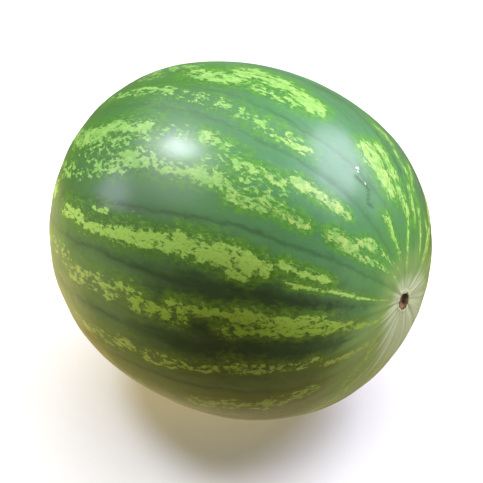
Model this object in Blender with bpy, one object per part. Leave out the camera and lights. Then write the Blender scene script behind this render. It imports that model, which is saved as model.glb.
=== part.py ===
"""An oblong striped watermelon, lying on its side on a small flat spot.

Metres, +Z up. The length runs along X, with the blossom scar at +X and the stem stub at -X.
The origin is on the flat spot, under the middle of the fruit.
"""

from math import cos, exp, pi, sin

import bmesh
import bpy
import numpy as np

# Overall size of the fruit
LENGTH = 0.266
FULL_RADIUS = 0.128
MIDDLE_HEIGHT = 0.1185

# Shape of the body, as shares of the radius
BLUNTNESS = 0.06
BLOSSOM_FULLNESS = 0.03
OVALITY = -0.025
OVALITY_TWIST = -0.02
OVALITY_GROWTH = 0.03

# How far the blossom end leans from the straight length, sideways and up
LEAN_SIDE = -0.0068
LEAN_UP = 0.0038

# Shallow lengthwise lobes, one for each pair of stripes
LOBE_COUNT = 17
LOBE_DEPTH = 0.0005

# Blossom end: a shallow puckered pit with a corky scar in it
PIT_DEPTH = 0.0016
PIT_RADIUS = 0.014
SCAR_DEPTH = 0.0016
SCAR_RADIUS = 0.0045
LIP_HEIGHT = 0.0009
LIP_RADIUS = 0.0062
LIP_WIDTH = 0.0018
PUCKER_DEPTH = 0.0009
PUCKER_RADIUS = 0.014
PUCKER_SPREAD = 0.009
PUCKER_COUNTS = (17, 11)
PUCKER_OFFSETS = (0.0, 1.3)

# Stem end: a dimple with a small level seat for the stem stub
DIMPLE_DEPTH = 0.0055
DIMPLE_RADIUS = 0.013
SEAT_RADIUS = 0.0078

# Stem stub: a dry ribbed stalk, wider at the seat and a little at the cut
STEM_LENGTH = 0.020
STEM_RADIUS = 0.0036
SEAT_FLARE = 0.35
CUT_FLARE = 0.12
STEM_BEND = 0.0035
STEM_RIBS = 5
STEM_RIB_DEPTH = 0.10
SEAT_GAP = 0.0003

# Fineness of the meshes
SEGMENTS = 5 * LOBE_COUNT
RINGS = 46
POLE_CROWDING = 0.78
STEM_STEPS = 12
STEM_SIDES = 30

# Colours and surfaces
RIND_COLOUR = (0.13, 0.27, 0.07, 1.0)
RIND_ROUGHNESS = 0.42
STEM_COLOUR = (0.21, 0.15, 0.07, 1.0)
STEM_ROUGHNESS = 0.85


def clear_scene():
    for item in list(bpy.data.objects):
        bpy.data.objects.remove(item, do_unlink=True)


def new_collection(name):
    group = bpy.data.collections.new(name)
    bpy.context.scene.collection.children.link(group)
    return group


def plain_material(name, colour, roughness):
    material = bpy.data.materials.new(name)
    material.use_nodes = True
    shader = material.node_tree.nodes["Principled BSDF"]
    shader.inputs["Base Color"].default_value = colour
    shader.inputs["Roughness"].default_value = roughness
    shader.inputs["Metallic"].default_value = 0.0
    return material


def crowded(share):
    """Angle along the fruit for an even share from 0 to 1, with steps closer together at both ends."""
    return pi * share - POLE_CROWDING / 2 * sin(2 * pi * share)


def body_point(along, turn):
    """Point of the smooth body: along is 0 at the blossom end and pi at the stem end, turn goes round X."""
    reach = cos(along)
    radius = FULL_RADIUS * sin(along)
    radius *= 1 + BLOSSOM_FULLNESS * reach + BLUNTNESS * cos(2 * along)
    radius *= 1 + OVALITY_GROWTH * reach * cos(2 * turn) + (OVALITY + OVALITY_TWIST * reach) * sin(2 * turn)
    x = LENGTH / 2 * reach
    y = radius * cos(turn) + LEAN_SIDE * reach
    z = radius * sin(turn) + LEAN_UP * reach + MIDDLE_HEIGHT
    return np.array((x, y, z))


def outward(along, turn):
    """Outward direction of the body, taken from the plain ellipsoid under it."""
    direction = np.array((2 * cos(along) / LENGTH, 0.0, 0.0))
    direction[1] = sin(along) * cos(turn) / FULL_RADIUS
    direction[2] = sin(along) * sin(turn) / FULL_RADIUS
    return direction / np.linalg.norm(direction)


def bell(distance, width):
    return exp(-((distance / width) ** 2))


def blossom_relief(ring, turn):
    """Height of the blossom end's relief at a distance ring from its centre."""
    pit = -PIT_DEPTH * bell(ring, PIT_RADIUS)
    scar = -SCAR_DEPTH * bell(ring, SCAR_RADIUS)
    lip = LIP_HEIGHT * bell(ring - LIP_RADIUS, LIP_WIDTH)
    waves = [cos(count * turn + offset) for count, offset in zip(PUCKER_COUNTS, PUCKER_OFFSETS)]
    crease = sum(waves) / (2 * len(waves)) - 0.5
    pucker = PUCKER_DEPTH * crease * bell(ring - PUCKER_RADIUS, PUCKER_SPREAD)
    return pit + scar + lip + pucker


def relief(along, turn):
    """Height of the surface above the smooth body."""
    ring = FULL_RADIUS * sin(along)
    height = LOBE_DEPTH * (cos(LOBE_COUNT * turn) - 1) / 2 * sin(along)
    if along < pi / 2:
        height += blossom_relief(ring, turn)
    else:
        height -= DIMPLE_DEPTH * bell(max(ring - SEAT_RADIUS, 0.0), DIMPLE_RADIUS)
    return height


def seat_centre():
    """Middle of the level seat at the bottom of the stem dimple."""
    return body_point(pi, 0.0) + outward(pi, 0.0) * relief(pi, 0.0)


def rind_point(along, turn):
    point = body_point(along, turn) + outward(along, turn) * relief(along, turn)
    if along > pi / 2 and FULL_RADIUS * sin(along) < SEAT_RADIUS:
        point[0] = seat_centre()[0]
    return point


def cut_flat_spot(mesh):
    """Cut the underside off level at Z = 0 and close the cut with one flat face."""
    everything = mesh.verts[:] + mesh.edges[:] + mesh.faces[:]
    cut = bmesh.ops.bisect_plane(mesh, geom=everything, plane_co=(0, 0, 0), plane_no=(0, 0, 1), clear_inner=True)
    rim = [item for item in cut["geom_cut"] if isinstance(item, bmesh.types.BMEdge)]
    bmesh.ops.contextual_create(mesh, geom=rim)
    bmesh.ops.recalc_face_normals(mesh, faces=mesh.faces[:])


def build_watermelon(group):
    mesh = bmesh.new()
    bmesh.ops.create_uvsphere(mesh, u_segments=SEGMENTS, v_segments=RINGS, radius=1.0)
    for vertex in mesh.verts:
        x, y, z = vertex.co
        share = np.arccos(np.clip(z, -1.0, 1.0)) / pi
        vertex.co = rind_point(crowded(share), np.arctan2(y, x))
    cut_flat_spot(mesh)
    data = bpy.data.meshes.new("watermelon")
    mesh.to_mesh(data)
    mesh.free()
    data.shade_smooth()
    data.materials.append(plain_material("rind", RIND_COLOUR, RIND_ROUGHNESS))
    fruit = bpy.data.objects.new("watermelon", data)
    group.objects.link(fruit)
    return fruit


def stem_profile(group):
    """Ribbed outline of the stalk, a guide that the stem's curve is swept with."""
    outline = bpy.data.curves.new("stem_outline", "CURVE")
    outline.dimensions = "2D"
    spline = outline.splines.new("POLY")
    spline.points.add(STEM_SIDES - 1)
    spline.use_cyclic_u = True
    for index, point in enumerate(spline.points):
        angle = -2 * pi * index / STEM_SIDES
        radius = STEM_RADIUS * (1 + STEM_RIB_DEPTH * cos(STEM_RIBS * angle))
        point.co = (radius * cos(angle), radius * sin(angle), 0.0, 1.0)
    guide = bpy.data.objects.new("stem_outline", outline)
    guide.hide_render = True
    guide.display_type = "WIRE"
    group.objects.link(guide)
    return guide


def build_stem(group, guides):
    curve = bpy.data.curves.new("stem", "CURVE")
    curve.dimensions = "3D"
    curve.bevel_mode = "OBJECT"
    curve.bevel_object = stem_profile(guides)
    curve.use_fill_caps = True
    spline = curve.splines.new("POLY")
    spline.points.add(STEM_STEPS)
    spline.use_smooth = True
    start = seat_centre()
    for index, point in enumerate(spline.points):
        share = index / STEM_STEPS
        x = start[0] - SEAT_GAP - STEM_LENGTH * share
        y = start[1] - STEM_BEND * share ** 2
        z = start[2] + STEM_BEND * share ** 2
        point.co = (x, y, z, 1.0)
        point.radius = 1 + SEAT_FLARE * (1 - share) ** 4 + CUT_FLARE * share ** 4
    curve.materials.append(plain_material("stem", STEM_COLOUR, STEM_ROUGHNESS))
    stem = bpy.data.objects.new("stem", curve)
    group.objects.link(stem)
    return stem


def main():
    clear_scene()
    parts = new_collection("watermelon")
    guides = new_collection("guides")
    build_watermelon(parts)
    build_stem(parts, guides)


main()
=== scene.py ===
"""Looks of the watermelon: its rind, blossom scar and stem stub, with floor, light and camera."""

from math import cos, pi, radians, sin

import bmesh
import bpy
import numpy as np
from mathutils import Matrix, Vector, noise


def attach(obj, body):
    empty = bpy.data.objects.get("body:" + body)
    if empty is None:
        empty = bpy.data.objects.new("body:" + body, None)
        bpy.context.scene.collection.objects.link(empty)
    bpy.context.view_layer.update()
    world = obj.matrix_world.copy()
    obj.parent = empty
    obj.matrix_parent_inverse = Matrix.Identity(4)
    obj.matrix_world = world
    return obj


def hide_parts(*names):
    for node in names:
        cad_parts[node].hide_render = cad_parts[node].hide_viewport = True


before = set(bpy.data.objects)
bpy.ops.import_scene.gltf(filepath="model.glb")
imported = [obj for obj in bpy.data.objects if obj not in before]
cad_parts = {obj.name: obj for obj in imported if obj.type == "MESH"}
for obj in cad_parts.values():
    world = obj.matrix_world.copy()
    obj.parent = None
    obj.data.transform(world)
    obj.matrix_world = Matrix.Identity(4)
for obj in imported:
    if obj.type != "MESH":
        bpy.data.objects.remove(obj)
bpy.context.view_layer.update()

MM = 0.001

# Size and shape of the fruit, the same values that the solid is made from. Only the pit is shallower
# here, so that the raised lip of the scar stays inside the solid's box.
LENGTH = 0.266
FULL_RADIUS = 0.128
MIDDLE_HEIGHT = 0.1185
BLUNTNESS = 0.06
BLOSSOM_FULLNESS = 0.03
OVALITY = -0.025
OVALITY_TWIST = -0.02
OVALITY_GROWTH = 0.03
LEAN_SIDE = -0.0068
LEAN_UP = 0.0038
LOBE_COUNT = 17
LOBE_DEPTH = 0.0005
PIT_DEPTH = 0.0012
PIT_RADIUS = 0.014
PUCKER_COUNTS = (17, 11)
PUCKER_OFFSETS = (0.0, 1.3)
DIMPLE_DEPTH = 0.0055
DIMPLE_RADIUS = 0.013
SEAT_RADIUS = 0.0078
STEM_LENGTH = 0.020
STEM_RADIUS = 0.0036
SEAT_FLARE = 0.35
CUT_FLARE = 0.12
STEM_BEND = 0.0035
STEM_RIBS = 5
STEM_RIB_DEPTH = 0.10
SEAT_GAP = 0.0003

# The scene's own fine relief of the rind, in metres
SKIN_INSET = 0.0002
PUCKER_DEPTH = 0.0007
PUCKER_RADIUS = 0.014
PUCKER_SPREAD = 0.010
FOLD_DEPTH = 0.0009
FOLD_RADIUS = 0.020
FOLD_SPREAD = 0.009
FOLD_COUNTS = (13, 9)
VEIN_GROOVE = 0.00012
WAVER_HEIGHT = 0.00022
LUMP_HEIGHT = 0.00006
SCRATCH_DEPTH = 0.00025
FLECK_HEIGHT = 0.00035
SEAT_LUMPS = 0.0001

# Half width of a vein's groove in millimetres
VEIN_GROOVE_WIDTH = 1.8

# Fineness of the rind's mesh, with rings closer together at both ends
SEGMENTS = 324
RINGS = 304
BLOSSOM_CROWDING = 5.0
STEM_CROWDING = 3.0
CROWDING_REACH = radians(12)

# Size of the soft noises that unsettle what is drawn on the rind, in metres, and how far they move its
# veins and patches, in degrees
WAVER_SIZE = 0.045
LUMP_SIZE = 0.016
VEIN_WAVER = 1.2
PATCH_WAVER = 1.0
PATCH_LUMPS = 1.5

# Corky scar, in millimetres: it is longer one way, lies below the end of the fruit's length, and has a
# hole and a knob, whose places are sideways and upwards from the end of the length. The lip's place and
# width and the wobble of the edge are shares of the scar's size, and the reach round it is in metres.
SCAR_REACH = 0.02
SCAR_LEAN = radians(135)
SCAR_DROP = 2.2
SCAR_LONG = 8.0
SCAR_WIDE = 5.6
SCAR_WOBBLE = 0.16
WOBBLE_SIZE = 2.6
HOLE_PLACE = (1.6, -1.4)
HOLE_SHAPE = (1.3, 1.5)
HOLE_WIDTH = 2.6
HOLE_DEPTH = 1.3
KNOB_PLACE = (-2.4, -4.9)
KNOB_WIDTH = 2.2
KNOB_HEIGHT = 0.75
LIP_PLACE = 1.12
LIP_WIDTH = 0.22
LIP_HEIGHT = 0.55
CORK_LEVEL = -0.1
CORK_LUMPS = 0.45
CORK_GRAIN = 0.25
CORK_GRAIN_SIZE = 0.9

# Light patches of the stripes that the view shows, in degrees: where the patch starts and ends along
# the fruit from the blossom scar, its turn about the length at both ends, its half width, its strength
PATCHES = (
    # Stripe on the far shoulder
    (45, 57, 58, 60, 5.0, 0.60), (20, 34, 60, 62, 3.0, 0.80), (34, 46, 57, 60, 2.6, 0.60),
    # Stripe over the top
    (21, 33, 69, 77, 5.0, 0.80), (28, 49, 84, 83, 6.4, 1.00), (31, 47, 74, 73, 4.2, 0.88),
    (60, 75, 88, 87, 5.6, 0.95), (70, 95, 85, 85, 6.0, 0.88), (84, 105, 92, 95, 4.4, 0.90),
    (66, 88, 94, 93, 3.0, 0.55), (107, 127, 93, 95, 6.0, 0.60), (13, 28, 95, 99, 3.6, 0.60),
    # Broken stripe below it
    (52, 76, 107, 108, 3.4, 0.62), (74, 100, 107, 107, 3.4, 0.54), (98, 130, 106.5, 108, 3.0, 0.68),
    (9, 20, 106, 118, 3.2, 0.60),
    # Upper half of the wide stripe through the white glint
    (19, 30, 115, 127, 4.6, 0.80), (34, 54, 118.5, 120, 2.4, 0.90), (53, 70, 122, 124, 2.0, 0.80),
    (67, 78, 121, 119, 2.0, 0.65), (75, 84, 120, 120, 2.8, 0.80), (84, 97, 121, 121, 4.6, 0.46),
    (97, 118, 120.5, 124, 3.0, 0.90), (112, 135, 125, 129, 4.6, 0.90),
    # Lower half of that stripe
    (26, 38, 130, 130, 3.2, 1.00), (42, 54, 132, 132, 2.1, 0.90), (53, 68, 132, 134, 2.8, 0.78),
    (67, 79, 130, 131, 3.0, 0.92), (76, 94, 131, 133, 3.4, 0.68), (90, 108, 130, 136, 3.8, 0.78),
    (99, 113, 136, 138, 2.4, 0.70), (109, 130, 139, 143, 3.8, 0.58), (124, 137, 140, 142, 5.0, 0.62),
    (132, 146, 140, 137, 4.0, 0.80),
    # Long stripe across the middle
    (30, 47, 148.3, 147.6, 2.0, 0.95), (22, 44, 153.4, 153.4, 1.0, 0.90),
    (47, 79, 150.2, 150.4, 3.9, 1.00), (76, 99, 151.5, 154.5, 3.0, 1.00),
    (93, 111, 154, 156, 2.2, 0.85), (110, 124, 154.5, 154.5, 2.7, 0.95),
    (52, 62, 154.5, 154, 2.4, 0.85), (100, 108, 149.5, 149.5, 0.9, 0.75),
    # Stripe below the middle
    (7, 20, 184, 178, 3.2, 0.70), (17, 33, 176, 172, 4.0, 0.85), (28, 58, 168.5, 169, 3.8, 0.88),
    (29, 49, 173, 173, 2.6, 0.85), (45, 60, 173, 173, 2.4, 0.80), (56, 76, 167.5, 168.5, 2.0, 0.85),
    (69, 90, 171.5, 173, 3.4, 0.74), (84, 92, 169, 169, 1.8, 0.70), (90, 118, 171, 175, 5.0, 0.64),
    (112, 133, 170, 170, 5.0, 0.52),
    # Dull stripe under that
    (14, 32, 204, 195, 3.0, 0.80), (30, 46, 191, 190, 3.0, 0.66), (44, 62, 189, 187.5, 3.4, 0.70),
    (60, 78, 188.5, 190, 2.6, 0.62), (74, 88, 190, 191, 3.6, 0.66), (86, 118, 189, 196, 4.6, 0.58),
    # Lowest stripe that the view shows
    (9, 19, 205, 214, 3.6, 0.55), (12, 34, 216, 229, 5.0, 0.62), (33, 48, 211, 211, 5.0, 0.62),
    (43, 60, 210, 214, 6.0, 0.68), (55, 79, 208, 213, 6.0, 0.64), (90, 118, 212, 218, 4.0, 0.50),
    # Thin starts of stripes close to the scar
    (3, 28, 157, 154, 0.9, 0.85), (5, 18, 202, 206, 1.4, 0.60), (5, 14, 118, 121, 2.0, 0.55),
    # Starts of stripes beyond the scar
    (12, 28, 42, 52, 3.0, 0.90), (30, 41, 56, 49, 2.4, 0.85), (8, 23, 84, 70, 3.2, 0.85),
    (15, 26, 16, 38, 3.6, 0.85), (12, 27, 98, 95.5, 2.6, 0.85), (22, 31, 69, 76, 3.0, 0.95),
    (12, 27, 123, 131, 2.8, 0.80),
    # Wide and weak patches that scatter small flecks between the stripes
    (50, 82, 127, 128, 7.0, 0.44), (92, 128, 129, 132, 9.0, 0.46), (106, 128, 136, 141, 6.0, 0.56),
    (100, 128, 89, 92, 8.0, 0.46),
)

# Where a patch and the bright green round it start and end to fade, in half widths from their middle
PATCH_EDGE = (0.25, 1.5)
HALO_EDGE = (0.4, 1.6)

# The bright green round a patch reaches further than the patch by this many degrees of turn, and by more
# on the upper side towards the stem. Away from the top it lies this much higher than the patch.
HALO_WIDENING = 2.0
FAR_WIDENING = 3.5
HALO_LIFT = 0.6

# Stripes on the sides that the view hides follow the same habit by rule: their turn in degrees, where
# they start and end, the least and most of each patch's length, of the gap after it, of its half width
# and of its strength, how far it drifts, and the same for the narrow branches beside some of the patches
HIDDEN_STRIPES = (236, 258, 279, 300, 321, 342, 3, 25)
HIDDEN_START = 10
SHOULDER_STRIPE = 54
SHOULDER_START = 60
STEM_SIDE_STRIPES = (86, 108, 125, 150, 172, 193, 215)
STEM_SIDE_START = 130
HIDDEN_END = 166
HIDDEN_OVERRUN = 4
HIDDEN_PATCH = (16, 34)
HIDDEN_GAP = (-6, 3)
HIDDEN_WIDTH = (2.6, 5.0)
HIDDEN_STRENGTH = (0.62, 0.95)
HIDDEN_DRIFT = 3.5
BRANCH_SHARE = 0.65
BRANCH_LENGTH = (8, 20)
BRANCH_WIDTH = (1.2, 2.2)
BRANCH_ASIDE = (1.5, 3.0)
BRANCH_STRENGTH = (0.7, 0.9)
SEED = 11

# Dark veins down the middle of the dark bands, in degrees of turn at four places along the fruit, and
# how strongly each of them shows
VEIN_ALONG = (20, 60, 90, 120)
VEINS = (
    (33, 38, 40, 42), (64, 68, 73, 76), (92, 101, 102, 104), (110, 113, 113, 114),
    (138, 141, 145.5, 150), (161, 159, 161, 163), (186, 180, 181, 184), (212, 199, 199, 203),
    (240, 226, 222, 226), (262, 247, 246, 248), (281, 268, 267, 269), (297, 289, 289, 290),
    (312, 311, 311, 311), (328, 332, 333, 333), (347, 353, 354, 354), (8, 15, 17, 18),
)
VEIN_STRENGTHS = (0.8, 0.8, 0.75, 0.7, 1.2, 1.1) + (1.0,) * 10

# How deep the green of the dark bands is at some turns in degrees, 0 for the palest and 1 for the deepest
BAND_DEPTHS = (
    (0, 0.45), (40, 0.40), (72, 0.25), (102, 0.12), (127, 0.10), (141, 0.06), (148, 0.45), (152, 0.40),
    (161, 0.82), (172, 0.80), (182, 0.86), (194, 0.36), (226, 0.25), (270, 0.40), (320, 0.50), (360, 0.45),
)

# Scratch near the blossom end: places in degrees along and of turn, sizes in millimetres
SCUFF_LINE = ((40.2, 100.4), (35.2, 98.7), (32.4, 105.0), (31.0, 103.7))
SCUFF_WIDTH = 1.2
SCUFF_FLECKS = ((41.9, 96.6, 1.4), (41.1, 97.4, 1.1), (37.2, 98.6, 1.4))

# Jagged mosaic of the light patches: sizes of its noises in millimetres, how far they are shaken, how
# much each of them adds, and between which sums the light tone and the bright green fade in
SHAKE_SIZE = 4.0
SHAKE_REACH = 2.6
BROAD_SIZE = 6.5
BROAD_SHARE = 1.1
CELL_SIZE = 3.2
CELL_SHARE = 0.55
FINE_SIZE = 2.6
FINE_SHARE = 2.0
LIGHT_FADE = (0.52, 0.76)
HALO_FADE = (0.10, 1.0)

# Sizes of the other noises of both materials, in millimetres
CLOUD_SIZE = 5.0
SPECK_SIZE = 1.9
MOTTLE_SIZE = 5.0
GRIT_SIZE = 1.7
SOIL_SIZE = 12.0
CORK_SIZE = 1.3
TEAR_SIZE = 0.8
SKIN_SIZE = 1.1
DENT_SIZE = 5.0
FIBRE_SIZE = 0.7
BLOTCH_SIZE = 4.0
PITH_SIZE = 0.8

# Veins, in millimetres: size and reach of their wavering, and where their line and the softer dark round
# it start and end to fade
VEIN_NOISE_SIZE = 6.0
VEIN_NOISE_REACH = 6.0
VEIN_LINE = (0.1, 2.3)
VEIN_CORE = (1.0, 6.0)

# Waxy surface of the rind
RIND_ROUGHNESS = (0.40, 0.48)
RIND_SPECULAR = 0.36
WAX_WEIGHT = 0.36
WAX_ROUGHNESS = 0.22
RIND_BUMP = 0.1 * MM

# The stem stub's mesh and own fine relief: its twist is in radians, its cap's insets and the depth of
# its knots are shares of its radius, and the rest is in metres
STEM_SIDES = 90
STEM_STEPS = 60
STEM_TRIM = 0.0003
CAP_INSETS = (0.16, 0.22, 0.26)
STEM_TWIST = 0.5
KNOT_DEPTH = 0.035
CUT_HOLLOW = 0.0006
CUT_TEAR = 0.0003
STEM_ROUGHNESS = 0.85
STEM_BUMP = 0.4 * MM

# Floor and backdrop
ROOM_RADIUS = 12.0
FLOOR_DROP = 0.0004
FLOOR_ALBEDO = 0.72
FLOOR_GLOW = 0.12
BACKDROP_GLOW = 0.92
GLOW_COLOUR = (1.0, 1.0, 0.99, 1.0)

# Soft light from above and all round
SUN_POWER = 2.5
SUN_ANGLE = radians(60)
SUN_TILT = radians(-6)
ROOM_COLOUR = (1.0, 0.74, 0.40, 1.0)
ROOM_STRENGTH = 0.24

# Lamps: azimuth and elevation seen from the fruit's middle in degrees, distance, width and height,
# power in watts, colour, and whether the lamp lights the fruit, only shows as a sheen on it, or both
LAMPS = (
    ("white_glint", -165, 54, 1.5, (0.50, 0.50), 14.5, (0.82, 0.86, 1.0), "both"),
    ("window", 50, 44, 1.7, (1.5, 0.96), 39.0, (0.80, 0.79, 1.0), "both"),
    ("pale_wall", -153, 52, 1.5, (1.1, 1.0), 10.5, (1.0, 0.84, 0.98), "sheen"),
    ("left_sky", -156, 19, 1.8, (0.50, 0.5), 5.6, (0.76, 0.66, 1.0), "sheen"),
    ("right_wall", 48, 22, 1.8, (1.0, 0.9), 3.6, (1.0, 0.92, 1.0), "sheen"),
    ("ceiling", 150, 44, 1.8, (1.4, 1.0), 3.2, (1.0, 0.76, 1.0), "sheen"),
    ("upper_window", 28, 62, 1.8, (1.0, 0.8), 5.0, (0.62, 0.62, 1.0), "sheen"),
    ("high_ceiling", 115, 68, 1.8, (1.3, 0.8), 3.4, (1.0, 0.72, 1.0), "sheen"),
    ("bright_glint", -167, 53, 1.5, (0.22, 0.22), 3.0, (0.92, 0.96, 1.0), "sheen"),
    ("warm_wall", 170, -28, 1.8, (1.4, 1.0), 3.0, (1.0, 0.88, 0.40), "both"),
    ("warm_table", 118, -58, 1.8, (1.8, 1.8), 2.2, (1.0, 0.92, 0.58), "both"),
    ("left_fill", -160, -25, 1.8, (1.4, 1.4), 43.0, (1.0, 0.97, 0.70), "light"),
    ("right_fill", 15, -14, 1.8, (1.4, 1.4), 20.5, (0.90, 0.96, 1.0), "light"),
)

# Camera: the field is its focal length in pixels of the picture's width, and the lengths are in units of
# the fruit's full radius
CAMERA_AZIMUTH = radians(34.27)
CAMERA_ELEVATION = radians(30.25)
CAMERA_DISTANCE = 7.0
CAMERA_ACROSS = 0.0284
CAMERA_UPWARD = -0.0124
CAMERA_FIELD = 1326.4
IMAGE_WIDTH = 483
SENSOR = 36.0

MIDDLE = Vector((0.0, 0.0, MIDDLE_HEIGHT))


def srgb(red, green, blue):
    """Linear colour from the eight-bit values that a colour is usually given in."""
    values = [level / 255 for level in (red, green, blue)]
    linear = [v / 12.92 if v <= 0.04045 else ((v + 0.055) / 1.055) ** 2.4 for v in values]
    return (*linear, 1.0)


# Colours of the dark bands: on top, where they are deepest, low down, where the duller olive is painted
# shade for the dimmer, warmer light there, near the scar, and underneath, where the paler olive is partly
# the rind's own and partly painted bounce light from the floor; the painted shade that deepens the greens
# on the upper side towards the stem; and the veins
BAND = srgb(71, 128, 80)
BAND_DEEP = srgb(42, 66, 35)
BAND_LOW = srgb(92, 110, 55)
BAND_END = srgb(78, 128, 58)
BAND_UNDER = srgb(115, 116, 66)
FAR_SHADE = srgb(192, 213, 186)
VEIN = srgb(34, 60, 34)

# Colours of the bright green round the patches, the third of them low down and painted shade for the
# dimmer, warmer light there, and of the flecks in it
HALO = srgb(84, 150, 42)
HALO_DEEP = srgb(62, 124, 36)
HALO_LOW = srgb(92, 106, 32)
FLECK = srgb(140, 190, 104)

# Colours of the light patches: yellower near the scar, fresher further on; paler on the sides than on top
# and duller and warmer low down, which is painted light and shade for how the light falls on them
LIGHT = srgb(122, 178, 84)
LIGHT_YELLOW = srgb(168, 196, 108)
LIGHT_FRESH = srgb(148, 192, 102)
LIGHT_SIDE = srgb(160, 204, 90)
LIGHT_LOW = srgb(140, 174, 54)
LIGHT_DULL_SHADE = srgb(152, 162, 90)

# Colours of both ends, of the spot that lay on the soil, of the scar and of the scratch
END_PALE = srgb(181, 189, 155)
END_LINE = srgb(146, 160, 114)
END_OLIVE = srgb(130, 154, 88)
STEM_END = srgb(158, 172, 104)
GROUND = srgb(188, 172, 106)
CORK = srgb(120, 94, 62)
CORK_BROWN = srgb(70, 50, 30)
CORK_DARK = srgb(34, 23, 13)
CORK_TAN = srgb(158, 118, 82)
LIP_PALE = srgb(204, 192, 158)
SCUFF_PALE = srgb(225, 224, 214)
SCUFF_DARK = srgb(40, 58, 46)

# Colours of the stem stub
FIBRE_DARK = srgb(92, 72, 42)
FIBRE_PALE = srgb(158, 134, 88)
FIBRE_GREEN = srgb(104, 112, 58)
CUT_DARK = srgb(120, 92, 58)
CUT_PALE = srgb(190, 164, 118)


def smooth_step(low, high, value):
    share = np.clip((value - low) / (high - low), 0.0, 1.0)
    return share * share * (3 - 2 * share)


def bell(distance, width):
    return np.exp(-((distance / width) ** 2))


def wrapped(degrees):
    """Difference of turns brought to between -180 and 180."""
    return (degrees + 180) % 360 - 180


def crease(turn, counts):
    """Lengthwise creases round an end, 0 on their ridges and -1 in their deepest hollows."""
    waves = [np.cos(count * turn + offset) for count, offset in zip(counts, PUCKER_OFFSETS)]
    return sum(waves) / (2 * len(waves)) - 0.5


def body_points(along, turn):
    """Points of the smooth body: along is 0 at the blossom end and pi at the stem, turn goes round X."""
    reach = np.cos(along)
    radius = FULL_RADIUS * np.sin(along)
    radius = radius * (1 + BLOSSOM_FULLNESS * reach + BLUNTNESS * np.cos(2 * along))
    oval = OVALITY_GROWTH * reach * np.cos(2 * turn)
    oval = oval + (OVALITY + OVALITY_TWIST * reach) * np.sin(2 * turn)
    radius = radius * (1 + oval)
    x = LENGTH / 2 * reach
    y = radius * np.cos(turn) + LEAN_SIDE * reach
    z = radius * np.sin(turn) + LEAN_UP * reach + MIDDLE_HEIGHT
    return np.stack((x, y, z), -1)


def outward(along, turn):
    """Outward directions of the body, taken from the plain ellipsoid under it."""
    x = 2 * np.cos(along) / LENGTH
    y = np.sin(along) * np.cos(turn) / FULL_RADIUS
    z = np.sin(along) * np.sin(turn) / FULL_RADIUS
    direction = np.stack((x, y, z), -1)
    return direction / np.linalg.norm(direction, axis=-1, keepdims=True)


def noise_at(points, size, octaves):
    """Soft noise between about -1 and 1 at each point, with features of the given size."""
    values = [noise.fractal(Vector(point), 0.9, 2.1, octaves) for point in points / size]
    return np.array(values)


def ring_angles():
    """Angles along the fruit of the mesh's rings, from pole to pole."""
    even = np.linspace(0, pi, 4001)
    blossom_crowd = BLOSSOM_CROWDING * bell(even, CROWDING_REACH)
    density = 1 + blossom_crowd + STEM_CROWDING * bell(pi - even, CROWDING_REACH)
    total = np.cumsum(density)
    total = (total - total[0]) / (total[-1] - total[0])
    return np.interp(np.linspace(0, 1, RINGS + 1), total, even)


def hidden_patches():
    """Patches of the stripes that the view doesn't reach, drawn by rule."""
    draw = np.random.default_rng(SEED)
    stripes = [(turn, HIDDEN_START) for turn in HIDDEN_STRIPES]
    stripes += [(turn, STEM_SIDE_START) for turn in STEM_SIDE_STRIPES]
    stripes.append((SHOULDER_STRIPE, SHOULDER_START))
    patches = []
    for turn, start in stripes:
        here = start + draw.uniform(0, HIDDEN_GAP[1])
        middle = turn
        while here < HIDDEN_END:
            end = min(here + draw.uniform(*HIDDEN_PATCH), HIDDEN_END + HIDDEN_OVERRUN)
            ahead = turn + draw.uniform(-HIDDEN_DRIFT, HIDDEN_DRIFT)
            width = draw.uniform(*HIDDEN_WIDTH)
            patches.append((here, end, middle, ahead, width, draw.uniform(*HIDDEN_STRENGTH)))
            if draw.random() < BRANCH_SHARE:
                first = draw.uniform(here, end)
                side = draw.choice((-1, 1))
                aside = (middle + ahead) / 2 + side * (width + draw.uniform(*BRANCH_ASIDE))
                last = first + draw.uniform(*BRANCH_LENGTH)
                branch_width = draw.uniform(*BRANCH_WIDTH)
                patches.append((first, last, aside, aside, branch_width, draw.uniform(*BRANCH_STRENGTH)))
            middle = ahead
            here = end + draw.uniform(*HIDDEN_GAP)
    return patches


def patch_distance(patch, along, turn):
    """Distance from a patch's middle line in half widths, for points in degrees along and of turn."""
    start, end, first_turn, last_turn, half_width, _ = patch
    share = np.clip((along - start) / (end - start), 0, 1)
    across = wrapped(turn - (first_turn + (last_turn - first_turn) * share)) / half_width
    past_end = np.abs(along - (start + end) / 2) - (end - start) / 2
    beyond = np.maximum(past_end + half_width, 0) / half_width
    return np.hypot(across, beyond)


def stripe_fields(along, turn):
    """How likely each point is to be light, and how much of the bright green round patches it has."""
    light = np.zeros_like(along)
    halo = np.zeros_like(along)
    halo_turn = turn + HALO_LIFT * smooth_step(0, 75, np.abs(wrapped(turn - 90)))
    upper_side = bell(wrapped(turn - 110), 45)
    widening = HALO_WIDENING + FAR_WIDENING * smooth_step(75, 110, along) * upper_side
    for patch in PATCHES + tuple(hidden_patches()):
        half_width, strength = patch[4:]
        distance = patch_distance(patch, along, turn)
        light = np.maximum(light, strength * (1 - smooth_step(*PATCH_EDGE, distance)))
        distance = patch_distance(patch, along, halo_turn) / (1 + widening / half_width)
        halo = np.maximum(halo, strength * (1 - smooth_step(*HALO_EDGE, distance)))
    return light, halo


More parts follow.
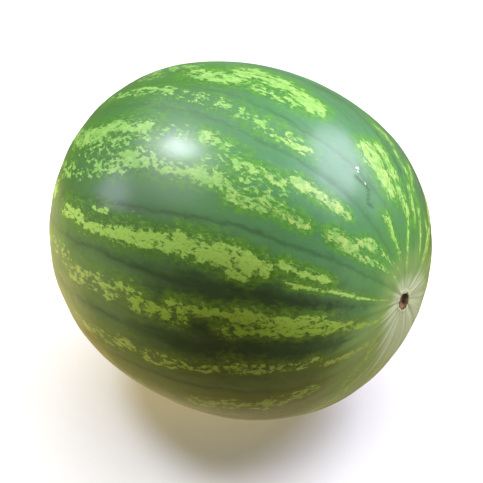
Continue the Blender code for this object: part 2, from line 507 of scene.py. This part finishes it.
def vein_field(along, turn, radius):
    """Signed distance in millimetres to the nearest vein, and how strong that vein is.

    The sign turns over from vein to vein, so that it doesn't jump half way between two of them.
    """
    nearest = np.full_like(along, 1e9)
    signed = np.zeros_like(along)
    strength = np.zeros_like(along)
    for index, vein in enumerate(VEINS):
        vein_turn = np.interp(along, VEIN_ALONG, vein)
        apart = wrapped(turn - vein_turn) * pi / 180 * radius / MM
        closer = np.abs(apart) < nearest
        nearest = np.where(closer, np.abs(apart), nearest)
        signed = np.where(closer, apart * (-1) ** index, signed)
        strength = np.where(closer, VEIN_STRENGTHS[index], strength)
    return signed, strength


def scar_relief(side, height):
    """Height of the corky scar in metres, and how much each place is of its cork, hole, knob and lip.

    Side and height are places across it in millimetres.
    """
    wobble = noise_at(np.stack((side, height, np.zeros_like(side)), -1), WOBBLE_SIZE, 4)
    fine = noise_at(np.stack((side, height, np.ones_like(side)), -1), CORK_GRAIN_SIZE, 3)
    long = side * cos(SCAR_LEAN) + (height + SCAR_DROP) * sin(SCAR_LEAN)
    wide = -side * sin(SCAR_LEAN) + (height + SCAR_DROP) * cos(SCAR_LEAN)
    round_scar = np.hypot(long / SCAR_LONG, wide / SCAR_WIDE) + SCAR_WOBBLE * wobble
    inside = 1 - smooth_step(0.85, 1.05, round_scar)
    hole_side = (side - HOLE_PLACE[0]) / HOLE_SHAPE[0]
    hole_height = (height - HOLE_PLACE[1]) / HOLE_SHAPE[1]
    hole = bell(np.hypot(hole_side, hole_height), HOLE_WIDTH)
    knob = bell(np.hypot(side - KNOB_PLACE[0], height - KNOB_PLACE[1]), KNOB_WIDTH)
    lip = bell(round_scar - LIP_PLACE, LIP_WIDTH)
    cork = CORK_LEVEL - HOLE_DEPTH * hole + KNOB_HEIGHT * knob + CORK_LUMPS * wobble + CORK_GRAIN * fine
    relief = inside * cork + LIP_HEIGHT * lip * (1 + 0.5 * wobble)
    return MM * relief, inside, hole, knob, lip


def scuff_fields(along, turn, radius):
    """The scratch near the blossom end: how much each point is of its line and of its torn flecks."""
    line = np.zeros_like(along)
    for first, last in zip(SCUFF_LINE, SCUFF_LINE[1:]):
        across = FULL_RADIUS * pi / 180 / MM
        around = radius * pi / 180 / MM
        run = ((last[0] - first[0]) * across, wrapped(last[1] - first[1]) * around)
        here = ((along - first[0]) * across, wrapped(turn - first[1]) * around)
        share = np.clip((here[0] * run[0] + here[1] * run[1]) / (run[0] ** 2 + run[1] ** 2), 0, 1)
        apart = np.hypot(here[0] - share * run[0], here[1] - share * run[1])
        line = np.maximum(line, bell(apart, SCUFF_WIDTH))
    fleck = np.zeros_like(along)
    for at_along, at_turn, size in SCUFF_FLECKS:
        dx = (along - at_along) * pi / 180 * FULL_RADIUS / MM
        dy = wrapped(turn - at_turn) * pi / 180 * radius / MM
        fleck = np.maximum(fleck, bell(np.hypot(dx, dy), size))
    return line, fleck


def mesh_places(data):
    """Places of a mesh's vertices, one row for each."""
    places = np.empty(len(data.vertices) * 3)
    data.vertices.foreach_get("co", places)
    return places.reshape(-1, 3)


def add_number(data, name, values):
    data.attributes.new(name, "FLOAT", "POINT").data.foreach_set("value", values.astype(np.float32))


def add_vector(data, name, values):
    layer = data.attributes.new(name, "FLOAT_VECTOR", "POINT")
    layer.data.foreach_set("vector", values.astype(np.float32).ravel())


class RindPlaces:
    """Where each vertex of the rind is on the smooth body, with two soft noises for what is drawn there."""

    def __init__(self, along, turn):
        self.along = along
        self.turn = turn
        self.points = body_points(along, turn)
        self.ring = FULL_RADIUS * np.sin(along)
        self.radius = np.hypot(self.points[:, 1], self.points[:, 2] - MIDDLE_HEIGHT)
        self.near_blossom = along < pi / 2
        self.along_degrees = np.degrees(along)
        self.turn_degrees = np.degrees(turn) % 360
        self.waver = noise_at(self.points, WAVER_SIZE, 2)
        self.lumps = noise_at(self.points + 0.3, LUMP_SIZE, 2)


def build_rind_mesh():
    """A fine round mesh and each vertex's angle along the fruit and turn about its length."""
    mesh = bmesh.new()
    bmesh.ops.create_uvsphere(mesh, u_segments=SEGMENTS, v_segments=RINGS, radius=1.0)
    data = bpy.data.meshes.new("rind_skin")
    mesh.to_mesh(data)
    mesh.free()
    places = mesh_places(data)
    share = np.arccos(np.clip(places[:, 2], -1, 1)) / pi
    along = np.interp(share, np.linspace(0, 1, RINGS + 1), ring_angles())
    turn = np.arctan2(places[:, 1], places[:, 0])
    return data, along, turn


def mark_fields(at):
    """Height of the scar, and how much each vertex has of stripes, veins, scar and scratch."""
    pole = body_points(np.array(0.0), np.array(0.0))
    side = (at.points[:, 1] - pole[1]) / MM
    height = (at.points[:, 2] - pole[2]) / MM
    close = at.near_blossom & (at.ring < SCAR_REACH)
    scar = np.zeros((5, len(at.along)))
    scar[:, close] = scar_relief(side[close], height[close])
    scar_height, cork, hole, knob, lip = scar
    marks = {"cork": cork, "hole": hole, "knob": knob, "lip": lip}
    vein_turn = at.turn_degrees + VEIN_WAVER * at.waver
    vein, strength = vein_field(at.along_degrees, vein_turn, at.radius)
    marks["vein"] = vein
    marks["vein_strength"] = strength * np.sin(at.along) ** 0.5
    patch_along = at.along_degrees + PATCH_LUMPS * at.lumps
    patch_turn = at.turn_degrees + PATCH_WAVER * at.waver
    marks["light"], marks["halo"] = stripe_fields(patch_along, patch_turn)
    scuff = scuff_fields(at.along_degrees, at.turn_degrees, at.radius)
    marks["scratch"], marks["fleck"] = scuff
    return scar_height, marks


def rind_relief(at, scar_height, marks):
    """Height of the skin above the smooth body."""
    relief = LOBE_DEPTH * (np.cos(LOBE_COUNT * at.turn) - 1) / 2 * np.sin(at.along)
    pucker = crease(at.turn + 0.08 * at.waver, PUCKER_COUNTS)
    pucker = pucker * bell(at.ring - PUCKER_RADIUS, PUCKER_SPREAD)
    blossom = -PIT_DEPTH * bell(at.ring, PIT_RADIUS) + PUCKER_DEPTH * pucker + scar_height
    relief += np.where(at.near_blossom, blossom, 0)
    dimple = DIMPLE_DEPTH * bell(np.maximum(at.ring - SEAT_RADIUS, 0), DIMPLE_RADIUS)
    folds = FOLD_DEPTH * crease(at.turn + 0.1 * at.waver, FOLD_COUNTS)
    folds = folds * bell(at.ring - FOLD_RADIUS, FOLD_SPREAD)
    relief += np.where(at.near_blossom, 0, folds - dimple)
    relief -= VEIN_GROOVE * bell(marks["vein"], VEIN_GROOVE_WIDTH) * np.sin(at.along)
    relief += WAVER_HEIGHT * (at.waver - 1) + LUMP_HEIGHT * (at.lumps - 1)
    relief += -SCRATCH_DEPTH * marks["scratch"] + FLECK_HEIGHT * marks["fleck"] - SKIN_INSET
    return relief


def rind_points(at, relief):
    """Places of the skin, with the level seat of the stem and the flat spot that the fruit rests on."""
    points = at.points + outward(at.along, at.turn) * relief[:, None]
    seat = (~at.near_blossom) & (at.ring < SEAT_RADIUS)
    points[seat, 0] = -LENGTH / 2 + DIMPLE_DEPTH + SEAT_LUMPS * at.lumps[seat]
    points[:, 2] = np.maximum(points[:, 2], 0.0)
    return points


def tone_fields(at):
    """How much each vertex has of the slow changes of colour along and round the fruit."""
    along = at.along_degrees
    turn = at.turn_degrees
    waver = at.waver
    wavering_turn = turn + 3 * waver
    from_top = np.abs(wrapped(turn - 90)) + 3 * waver
    from_bottom = np.abs(wrapped(turn - 270)) + 3 * waver

    # The pale and olive rings round the scar reach further on its lower side
    reach = 6.5 + 18 * bell(wrapped(turn - 285), 72)
    olive_reach = reach * (1 + 0.5 * bell(wrapped(turn - 215), 45))
    pale = 1 - smooth_step(reach * 0.4, reach * 1.5, along + 1.5 * waver)
    olive = 1 - smooth_step(olive_reach, olive_reach * 2.6, along + 2.5 * waver)

    # Duller, warmer tones low down, painted shade for the dimmer, warmer light there, setting in earlier
    # towards the stem
    low = smooth_step(25, 120, from_top)
    painted_dull_shade = smooth_step(0.70, 0.95, low)
    painted_dull_shade = np.maximum(painted_dull_shade, 0.8 * smooth_step(80, 112, along) * smooth_step(0.3, 0.6, low))

    # Deep green of the dark bands, fading towards both ends
    depth = np.interp(wavering_turn % 360, *zip(*BAND_DEPTHS))
    depth = depth * (1 - 0.65 * smooth_step(62, 100, along)) * smooth_step(8, 40, along)

    # Painted shade: deeper greens on the upper side towards the stem
    shade = smooth_step(62, 100, along) * smooth_step(74, 98, wavering_turn)
    shade = shade * (1 - smooth_step(146, 166, wavering_turn))

    # Spot on the underside that lay on the soil
    ground = bell(wrapped(turn - 268), 44 + 32 * smooth_step(80, 120, along))
    ground = ground * smooth_step(30, 80, along)
    ground = ground * (1 - smooth_step(150, 172, along))

    tones = {"pale": pale, "olive": olive, "low": low, "painted_dull_shade": painted_dull_shade, "depth": depth}
    tones["shade"] = shade
    tones["ground"] = ground
    tones["fresh"] = smooth_step(45, 70, along)
    tones["near_end"] = 1 - smooth_step(12, 36, along)
    # Paler olive under the bands underneath: partly the rind's own, partly painted bounce light from the
    # floor
    tones["underside"] = 1 - smooth_step(54, 82, from_bottom)
    tones["stem_pale"] = smooth_step(146, 174, along + 4 * waver)
    return tones


def add_noise_places(data, at, points):
    """Places in millimetres that the material's noises are read at."""
    arc = at.along * FULL_RADIUS
    grain = np.stack((arc, points[:, 1], points[:, 2] - MIDDLE_HEIGHT), -1) / MM
    add_vector(data, "grain", grain)
    spread = FULL_RADIUS * np.sin(at.along) ** 0.35
    flow = np.stack((0.6 * arc, spread * np.cos(at.turn), spread * np.sin(at.turn)), -1) / MM
    add_vector(data, "flow", flow)
    streak = np.stack((np.cos(at.turn), np.sin(at.turn), at.along * 0.35), -1)
    add_vector(data, "streak", streak)


def build_rind():
    data, along, turn = build_rind_mesh()
    at = RindPlaces(along, turn)
    scar_height, marks = mark_fields(at)
    points = rind_points(at, rind_relief(at, scar_height, marks))
    data.vertices.foreach_set("co", points.ravel())
    for name, values in {**marks, **tone_fields(at)}.items():
        add_number(data, name, values)
    add_noise_places(data, at, points)
    data.shade_smooth()
    skin = bpy.data.objects.new("rind_skin", data)
    bpy.context.collection.objects.link(skin)
    data.materials.append(rind_material())
    return skin


class Graph:
    """Short names for the nodes that the materials are wired from."""

    def __init__(self, name):
        self.material = bpy.data.materials.new(name)
        self.material.use_nodes = True
        self.tree = self.material.node_tree
        self.shader = self.tree.nodes["Principled BSDF"]

    def put(self, socket, value):
        """Wire another node's output to the socket, or set it to a constant."""
        if isinstance(value, bpy.types.NodeSocket):
            self.tree.links.new(value, socket)
        else:
            socket.default_value = value

    def attribute(self, name, vector=False):
        node = self.tree.nodes.new("ShaderNodeAttribute")
        node.attribute_name = name
        return node.outputs["Vector" if vector else "Fac"]

    def math(self, operation, first, second=0.0, third=0.0):
        node = self.tree.nodes.new("ShaderNodeMath")
        node.operation = operation
        for socket, value in zip(node.inputs, (first, second, third)):
            self.put(socket, value)
        return node.outputs[0]

    def times(self, first, second):
        return self.math("MULTIPLY", first, second)

    def plus(self, base, value, factor):
        """The base with the value times the factor added to it."""
        return self.math("MULTIPLY_ADD", value, factor, base)

    def swing(self, value):
        """A noise made to swing about zero."""
        return self.math("SUBTRACT", value, 0.5)

    def step(self, value, low, high, to_low=0.0, to_high=1.0):
        """A smooth step from to_low at the value low to to_high at the value high."""
        node = self.tree.nodes.new("ShaderNodeMapRange")
        node.interpolation_type = "SMOOTHSTEP"
        names = ("Value", "From Min", "From Max", "To Min", "To Max")
        for name, item in zip(names, (value, low, high, to_low, to_high)):
            self.put(node.inputs[name], item)
        return node.outputs["Result"]

    def blend(self, share, first, second, mode="MIX"):
        node = self.tree.nodes.new("ShaderNodeMix")
        node.data_type = "RGBA"
        node.blend_type = mode
        self.put(node.inputs["Factor"], share)
        self.put(node.inputs[6], first)
        self.put(node.inputs[7], second)
        return node.outputs[2]

    def stretch(self, vector, scale):
        node = self.tree.nodes.new("ShaderNodeVectorMath")
        node.operation = "MULTIPLY"
        self.put(node.inputs[0], vector)
        self.put(node.inputs[1], scale)
        return node.outputs[0]

    def shift(self, vector, other, amount):
        node = self.tree.nodes.new("ShaderNodeVectorMath")
        node.operation = "MULTIPLY_ADD"
        self.put(node.inputs[0], other)
        self.put(node.inputs[1], (amount, amount, amount))
        self.put(node.inputs[2], vector)
        return node.outputs[0]

    def noise(self, vector, size, detail, rough, colour=False):
        """Noise with features of the given size, with so many finer layers of the strength rough."""
        node = self.tree.nodes.new("ShaderNodeTexNoise")
        self.put(node.inputs["Vector"], vector)
        self.put(node.inputs["Scale"], 1 / size)
        self.put(node.inputs["Detail"], detail)
        self.put(node.inputs["Roughness"], rough)
        return node.outputs["Color" if colour else "Fac"]

    def cells(self, vector, size):
        """A different constant number in each cell."""
        node = self.tree.nodes.new("ShaderNodeTexVoronoi")
        self.put(node.inputs["Vector"], vector)
        self.put(node.inputs["Scale"], 1 / size)
        separate = self.tree.nodes.new("ShaderNodeSeparateColor")
        self.tree.links.new(node.outputs["Color"], separate.inputs[0])
        return separate.outputs[0]

    def bump(self, height, strength, distance):
        node = self.tree.nodes.new("ShaderNodeBump")
        self.put(node.inputs["Height"], height)
        self.put(node.inputs["Strength"], strength)
        self.put(node.inputs["Distance"], distance)
        return node.outputs["Normal"]


def jagged_mosaic(graph):
    """The mosaic's shaken places, its fine noise, and the sum of its soft noise, cells and fine noise."""
    flow = graph.attribute("flow", vector=True)
    shake = graph.noise(flow, SHAKE_SIZE, 2.0, 0.6, colour=True)
    shaken = graph.shift(flow, shake, SHAKE_REACH)
    broad = graph.noise(flow, BROAD_SIZE, 2.0, 0.5)
    cells = graph.cells(shaken, CELL_SIZE)
    fine = graph.noise(shaken, FINE_SIZE, 2.5, 0.58)
    mosaic = graph.times(graph.swing(broad), BROAD_SHARE)
    mosaic = graph.plus(mosaic, graph.swing(cells), CELL_SHARE)
    mosaic = graph.plus(mosaic, graph.swing(fine), FINE_SHARE)
    return shaken, fine, mosaic


def vein_shares(graph, grain):
    """The wavering dark line of the veins, and the wider and softer dark round it."""
    waver = graph.noise(grain, VEIN_NOISE_SIZE, 3.0, 0.6)
    waver = graph.times(graph.swing(waver), VEIN_NOISE_REACH)
    vein = graph.math("ABSOLUTE", graph.math("ADD", graph.attribute("vein"), waver))
    strength = graph.attribute("vein_strength")
    line = graph.times(graph.step(vein, *VEIN_LINE, 1.0, 0.0), strength)
    core = graph.times(graph.step(vein, *VEIN_CORE, 1.0, 0.0), strength)
    return line, core


def band_colour(graph, grain, low, vein_line, vein_core):
    """Dark band with its vein, from green on top to dull olive underneath: the olive low down is painted
    shade for the dimmer, warmer light there, and the paler olive underneath is partly the rind's own and
    partly painted bounce light from the floor.
    """
    underside = graph.attribute("underside")
    cloud = graph.noise(graph.stretch(grain, (0.4, 1.0, 1.0)), CLOUD_SIZE, 4.0, 0.6)
    depth = graph.plus(graph.attribute("depth"), graph.swing(cloud), 0.9)
    depth = graph.plus(depth, vein_core, 0.12)
    depth = graph.times(depth, graph.plus(1.0, underside, -0.5))
    band = graph.blend(low, BAND, BAND_LOW)
    band = graph.blend(graph.times(graph.attribute("near_end"), 0.75), band, BAND_END)
    band = graph.blend(graph.times(underside, 0.9), band, BAND_UNDER)
    band = graph.blend(graph.step(depth, 0.0, 1.0), band, BAND_DEEP)
    return graph.blend(graph.times(vein_line, 0.36), band, VEIN)


def halo_colour(graph, low, fine):
    """Bright green round the patches, duller and warmer low down as painted shade."""
    tone = graph.blend(graph.step(fine, 0.35, 0.65), HALO_DEEP, HALO)
    return graph.blend(low, tone, HALO_LOW)


def with_flecks(graph, colour, low, shaken, halo):
    """Small pale flecks, most of them in the bright green, duller low down as painted shade."""
    speck = graph.plus(graph.noise(shaken, SPECK_SIZE, 2.0, 0.6), halo, 0.30)
    share = graph.times(graph.step(speck, 0.80, 0.92), 0.5)
    tone = graph.blend(graph.step(low, 0.1, 0.7), FLECK, LIGHT_DULL_SHADE)
    return graph.blend(share, colour, tone)


def patch_colour(graph, grain, low, shaken, patchy, halo_tone):
    """Light patches, with specks of the bright green in them, paler on the sides than on top and duller low
    down as painted light and shade, and darkened on the upper side towards the stem by painted shade.
    """
    shade = graph.attribute("shade")
    yellow = graph.blend(graph.attribute("fresh"), LIGHT_YELLOW, LIGHT_FRESH)
    mottle = graph.noise(grain, MOTTLE_SIZE, 3.0, 0.6)
    tone = graph.blend(graph.step(mottle, 0.35, 0.65), LIGHT, yellow)
    tone = graph.blend(graph.step(low, 0.08, 0.32, 0.0, 0.8), tone, LIGHT_SIDE)
    tone = graph.blend(graph.step(low, 0.30, 0.75), tone, LIGHT_LOW)
    tone = graph.blend(graph.times(graph.attribute("painted_dull_shade"), 0.7), tone, LIGHT_DULL_SHADE)
    tone = graph.blend(graph.times(shade, 0.3), tone, FAR_SHADE, mode="MULTIPLY")
    grit = graph.step(graph.noise(shaken, GRIT_SIZE, 3.0, 0.65), 0.49, 0.67, 0.0, 0.65)
    gritty = graph.step(patchy, 0.8, 1.2, 1.0, 0.35)
    return graph.blend(graph.times(grit, gritty), tone, halo_tone)


def streak_share(graph, name, push, amount, low, high, to_high=1.0):
    """Share of a pale end whose edge is drawn out into streaks."""
    reach = graph.plus(graph.attribute(name), push, amount)
    return graph.step(reach, low, high, 0.0, to_high)


def with_soil_spot(graph, colour, grain):
    """Tan spot on the underside where the fruit lay on the soil."""
    mottle = graph.swing(graph.noise(grain, SOIL_SIZE, 4.0, 0.6))
    mottled = graph.plus(graph.attribute("ground"), mottle, 0.5)
    return graph.blend(graph.step(mottled, 0.15, 0.95, 0.0, 0.85), colour, GROUND)


def with_scar(graph, colour, cork, cork_noise):
    """Corky scar: dark in its hole, tan on its knob, pale on its lip."""
    tone = graph.blend(graph.step(cork_noise, 0.3, 0.7), CORK_BROWN, CORK)
    tone = graph.blend(graph.attribute("knob"), tone, CORK_TAN)
    tone = graph.blend(graph.step(graph.attribute("hole"), 0.12, 0.52), tone, CORK_DARK)
    colour = graph.blend(graph.times(graph.attribute("lip"), 0.20), colour, LIP_PALE)
    return graph.blend(cork, colour, tone)


def with_scratch(graph, colour, grain, scratch):
    """Scratch: a dark line and torn pale flecks."""
    colour = graph.blend(graph.times(scratch, 0.62), colour, SCUFF_DARK)
    torn = graph.swing(graph.noise(grain, TEAR_SIZE, 2.0, 0.6))
    fleck = graph.step(graph.plus(graph.attribute("fleck"), torn, 1.2), 0.40, 0.70)
    return graph.blend(fleck, colour, SCUFF_PALE)


def rind_material():
    graph = Graph("rind")
    grain = graph.stretch(graph.attribute("grain", vector=True), (0.6, 1.0, 1.0))
    low = graph.attribute("low")
    light = graph.attribute("light")
    halo = graph.attribute("halo")
    scratch = graph.attribute("scratch")
    cork = graph.step(graph.attribute("cork"), 0.25, 0.75)
    cork_noise = graph.noise(grain, CORK_SIZE, 4.0, 0.7)

    # Where the light patches and the bright green round them are
    shaken, fine, mosaic = jagged_mosaic(graph)
    patchy = graph.plus(light, mosaic, graph.step(light, 0.0, 0.45))
    light_share = graph.step(patchy, *LIGHT_FADE)
    halo_share = graph.step(graph.plus(halo, mosaic, 0.5), *HALO_FADE)

    # Dark band, bright green and flecks, all deeper on the upper side towards the stem, which is painted
    # shade
    vein_line, vein_core = vein_shares(graph, grain)
    halo_tone = halo_colour(graph, low, fine)
    colour = band_colour(graph, grain, low, vein_line, vein_core)
    colour = graph.blend(halo_share, colour, halo_tone)
    colour = with_flecks(graph, colour, low, shaken, halo)
    colour = graph.blend(graph.attribute("shade"), colour, FAR_SHADE, mode="MULTIPLY")

    # Light patches lie over the olive ring of the blossom end and under its pale one
    streak = graph.stretch(graph.attribute("streak", vector=True), (9.0, 9.0, 3.0))
    lines = graph.noise(streak, 1.0, 4.0, 0.65)
    push = graph.swing(lines)
    olive_share = streak_share(graph, "olive", push, 1.5, 0.15, 1.0, 0.65)
    colour = graph.blend(olive_share, colour, END_OLIVE)
    patch_tone = patch_colour(graph, grain, low, shaken, patchy, halo_tone)
    colour = graph.blend(light_share, colour, patch_tone)
    end_tone = graph.blend(graph.step(lines, 0.28, 0.66), END_LINE, END_PALE)
    pale_share = streak_share(graph, "pale", push, 1.3, 0.15, 1.0, 0.9)
    colour = graph.blend(pale_share, colour, end_tone)
    stem_share = streak_share(graph, "stem_pale", push, 1.2, 0.3, 1.0)
    colour = graph.blend(graph.times(stem_share, 0.7), colour, STEM_END)

    colour = with_soil_spot(graph, colour, grain)
    colour = with_scar(graph, colour, cork, cork_noise)
    colour = with_scratch(graph, colour, grain, scratch)
    graph.put(graph.shader.inputs["Base Color"], colour)

    # Waxy surface, dull on the cork and on the scratch
    rough = graph.step(fine, 0.3, 0.7, *RIND_ROUGHNESS)
    rough = graph.plus(rough, cork, 0.45)
    rough = graph.plus(rough, scratch, 0.35)
    graph.put(graph.shader.inputs["Roughness"], rough)
    graph.shader.inputs["Specular IOR Level"].default_value = RIND_SPECULAR
    graph.shader.inputs["Coat Weight"].default_value = WAX_WEIGHT
    graph.shader.inputs["Coat Roughness"].default_value = WAX_ROUGHNESS

    # Finest grain: skin and its dents, patches a little raised, veins sunk, streaks and cork
    skin = graph.times(graph.noise(grain, SKIN_SIZE, 3.0, 0.6), 0.35)
    height = graph.plus(skin, graph.noise(grain, DENT_SIZE, 2.0, 0.5), 2.2)
    height = graph.plus(height, light_share, 0.10)
    height = graph.plus(height, vein_line, -0.5)
    height = graph.plus(height, graph.times(pale_share, lines), 1.2)
    height = graph.plus(height, graph.times(cork, cork_noise), 3.0)
    graph.put(graph.shader.inputs["Normal"], graph.bump(height, 0.5, RIND_BUMP))
    return graph.material


def stem_material():
    """Dry fibres with greenish blotches, and the paler face of the cut."""
    graph = Graph("stem")
    grain = graph.attribute("grain", vector=True)
    fibres = graph.noise(graph.stretch(grain, (0.12, 1.0, 1.0)), FIBRE_SIZE, 4.0, 0.65)
    blotches = graph.noise(grain, BLOTCH_SIZE, 3.0, 0.6)
    colour = graph.blend(graph.step(fibres, 0.35, 0.65), FIBRE_DARK, FIBRE_PALE)
    colour = graph.blend(graph.step(blotches, 0.5, 0.72, 0.0, 0.5), colour, FIBRE_GREEN)
    pith = graph.noise(grain, PITH_SIZE, 3.0, 0.7)
    face = graph.blend(graph.step(pith, 0.4, 0.6), CUT_DARK, CUT_PALE)
    colour = graph.blend(graph.attribute("cut"), colour, face)
    graph.put(graph.shader.inputs["Base Color"], colour)
    graph.shader.inputs["Roughness"].default_value = STEM_ROUGHNESS
    height = graph.math("ADD", fibres, graph.times(blotches, 0.5))
    graph.put(graph.shader.inputs["Normal"], graph.bump(height, 0.7, STEM_BUMP))
    return graph.material


def build_stem_mesh():
    """An upright tube of radius 1 and height 1, closed at both ends with rings and a middle point."""
    mesh = bmesh.new()
    bmesh.ops.create_cone(mesh, segments=STEM_SIDES, radius1=1.0, radius2=1.0, depth=1.0, cap_ends=False)
    tall = [edge for edge in mesh.edges if abs(edge.verts[0].co.z - edge.verts[1].co.z) > 0.5]
    bmesh.ops.subdivide_edges(mesh, edges=tall, cuts=STEM_STEPS - 1, use_grid_fill=False)
    for level in (-0.5, 0.5):
        at_level = {vertex for vertex in mesh.verts if abs(vertex.co.z - level) < 1e-5}
        rim = [edge for edge in mesh.edges if at_level.issuperset(edge.verts)]
        cap = bmesh.ops.contextual_create(mesh, geom=rim)["faces"][0]
        for inset in CAP_INSETS:
            bmesh.ops.inset_individual(mesh, faces=[cap], thickness=inset)
        bmesh.ops.poke(mesh, faces=[cap])
    bmesh.ops.recalc_face_normals(mesh, faces=mesh.faces[:])
    data = bpy.data.meshes.new("stem_stub")
    mesh.to_mesh(data)
    mesh.free()
    return data


def build_stem():
    """The stalk as a ribbed and knotty tube along a slight bend, its cut end a little hollow and torn."""
    data = build_stem_mesh()
    places = mesh_places(data)
    share = np.clip(places[:, 2] + 0.5, 0, 1)
    angle = np.arctan2(places[:, 1], places[:, 0])
    spread = np.hypot(places[:, 0], places[:, 1])

    swirl = angle + STEM_TWIST * share
    radius = STEM_RADIUS * (1 + STEM_RIB_DEPTH * np.cos(STEM_RIBS * swirl))
    radius = radius * (1 + SEAT_FLARE * (1 - share) ** 4 + CUT_FLARE * share ** 4) * spread
    around_place = np.stack((np.cos(swirl), np.sin(swirl), share * 5), -1)
    knots = noise_at(around_place, 0.5, 3)
    radius = radius * (1 + KNOT_DEPTH * (knots - 0.6))

    cut = (share > 0.999) & (spread < 0.97)
    face = np.stack((places[:, 0], places[:, 1], np.zeros_like(share)), -1)
    torn = noise_at(face, 0.35, 3)
    sunk = np.where(cut, CUT_HOLLOW * (1 - spread ** 2) + CUT_TEAR * (torn + 0.5), 0)
    length = (STEM_LENGTH - STEM_TRIM) * share - sunk

    start = Vector((-LENGTH / 2 + DIMPLE_DEPTH - SEAT_GAP, -LEAN_SIDE, MIDDLE_HEIGHT - LEAN_UP))
    bend = STEM_BEND * share ** 2
    middle = np.stack((start.x - length, start.y - bend, start.z + bend), -1)
    slope = 2 * STEM_BEND * share / STEM_LENGTH
    heading = np.stack((-np.ones_like(share), -slope, slope), -1)
    heading /= np.linalg.norm(heading, axis=-1, keepdims=True)
    sideways = np.stack((np.zeros_like(share), np.cos(angle), np.sin(angle)), -1)
    sideways -= heading * np.sum(sideways * heading, axis=-1, keepdims=True)
    sideways /= np.linalg.norm(sideways, axis=-1, keepdims=True)
    data.vertices.foreach_set("co", (middle + sideways * radius[:, None]).ravel())

    grain = np.stack((length, radius * np.cos(angle), radius * np.sin(angle)), -1) / MM
    add_vector(data, "grain", grain)
    add_number(data, "cut", cut.astype(float))
    data.shade_smooth()
    data.materials.append(stem_material())
    stub = bpy.data.objects.new("stem_stub", data)
    bpy.context.collection.objects.link(stub)
    return stub


def stage_object(name, data, albedo, glow):
    """A plain pale piece of the room, seen by the camera but leaving the fruit's own light as it is."""
    material = bpy.data.materials.new(name)
    material.use_nodes = True
    shader = material.node_tree.nodes["Principled BSDF"]
    shader.inputs["Base Color"].default_value = (albedo, albedo, albedo, 1.0)
    shader.inputs["Roughness"].default_value = 0.9
    shader.inputs["Emission Color"].default_value = GLOW_COLOUR
    shader.inputs["Emission Strength"].default_value = glow
    data.materials.append(material)
    item = bpy.data.objects.new(name, data)
    item.visible_diffuse = False
    item.visible_glossy = False
    item.visible_shadow = False
    bpy.context.collection.objects.link(item)
    return item


def build_room():
    floor_mesh = bmesh.new()
    bmesh.ops.create_circle(floor_mesh, cap_ends=True, segments=96, radius=ROOM_RADIUS)
    data = bpy.data.meshes.new("floor")
    floor_mesh.to_mesh(data)
    floor_mesh.free()
    floor = stage_object("floor", data, FLOOR_ALBEDO, FLOOR_GLOW)
    floor.location.z = -FLOOR_DROP
    dome_mesh = bmesh.new()
    bmesh.ops.create_icosphere(dome_mesh, subdivisions=4, radius=ROOM_RADIUS)
    data = bpy.data.meshes.new("backdrop")
    dome_mesh.to_mesh(data)
    dome_mesh.free()
    stage_object("backdrop", data, 0.0, BACKDROP_GLOW)


def add_lamp(name, azimuth, elevation, distance, size, power, colour, use):
    """A soft lamp that looks at the fruit's middle."""
    azimuth = radians(azimuth)
    elevation = radians(elevation)
    direction = Vector((cos(elevation) * cos(azimuth), cos(elevation) * sin(azimuth), sin(elevation)))
    lamp_data = bpy.data.lights.new(name, "AREA")
    lamp_data.shape = "ELLIPSE"
    lamp_data.size, lamp_data.size_y = size
    lamp_data.energy = power
    lamp_data.color = colour
    lamp = bpy.data.objects.new(name, lamp_data)
    lamp.location = MIDDLE + direction * distance
    lamp.rotation_euler = (MIDDLE - lamp.location).to_track_quat("-Z", "Y").to_euler()
    lamp.visible_camera = False
    lamp.visible_glossy = use in ("sheen", "both")
    lamp.visible_diffuse = use in ("light", "both")
    bpy.context.collection.objects.link(lamp)


def add_overhead_sun():
    """Broad light from above that lights the fruit but doesn't show as a sheen."""
    sun_data = bpy.data.lights.new("overhead", "SUN")
    sun_data.energy = SUN_POWER
    sun_data.angle = SUN_ANGLE
    sun = bpy.data.objects.new("overhead", sun_data)
    sun.rotation_euler = (SUN_TILT, 0.0, 0.0)
    sun.visible_glossy = False
    bpy.context.collection.objects.link(sun)


def build_lights():
    add_overhead_sun()
    for lamp in LAMPS:
        add_lamp(*lamp)
    world = bpy.data.worlds.new("soft_room")
    world.use_nodes = True
    background = world.node_tree.nodes["Background"]
    background.inputs["Color"].default_value = ROOM_COLOUR
    background.inputs["Strength"].default_value = ROOM_STRENGTH
    bpy.context.scene.world = world
    bpy.context.scene.view_settings.view_transform = "Standard"


def build_camera():
    right = Vector((cos(CAMERA_AZIMUTH), sin(CAMERA_AZIMUTH), 0.0))
    level = cos(CAMERA_ELEVATION)
    back = Vector((right.y * level, -right.x * level, sin(CAMERA_ELEVATION)))
    upward = back.cross(right)
    camera_data = bpy.data.cameras.new("camera")
    camera_data.sensor_width = SENSOR
    camera_data.lens = CAMERA_FIELD / IMAGE_WIDTH * SENSOR
    camera = bpy.data.objects.new("camera", camera_data)
    offset = back * CAMERA_DISTANCE + right * CAMERA_ACROSS + upward * CAMERA_UPWARD
    turn = Matrix((right, upward, back)).transposed().to_4x4()
    camera.matrix_world = Matrix.Translation(MIDDLE + offset * FULL_RADIUS) @ turn
    bpy.context.collection.objects.link(camera)
    bpy.context.scene.camera = camera


skin = build_rind()
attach(skin, "root")
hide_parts("watermelon")

stub = build_stem()
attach(stub, "root")
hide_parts("stem")

build_room()
build_lights()
build_camera()
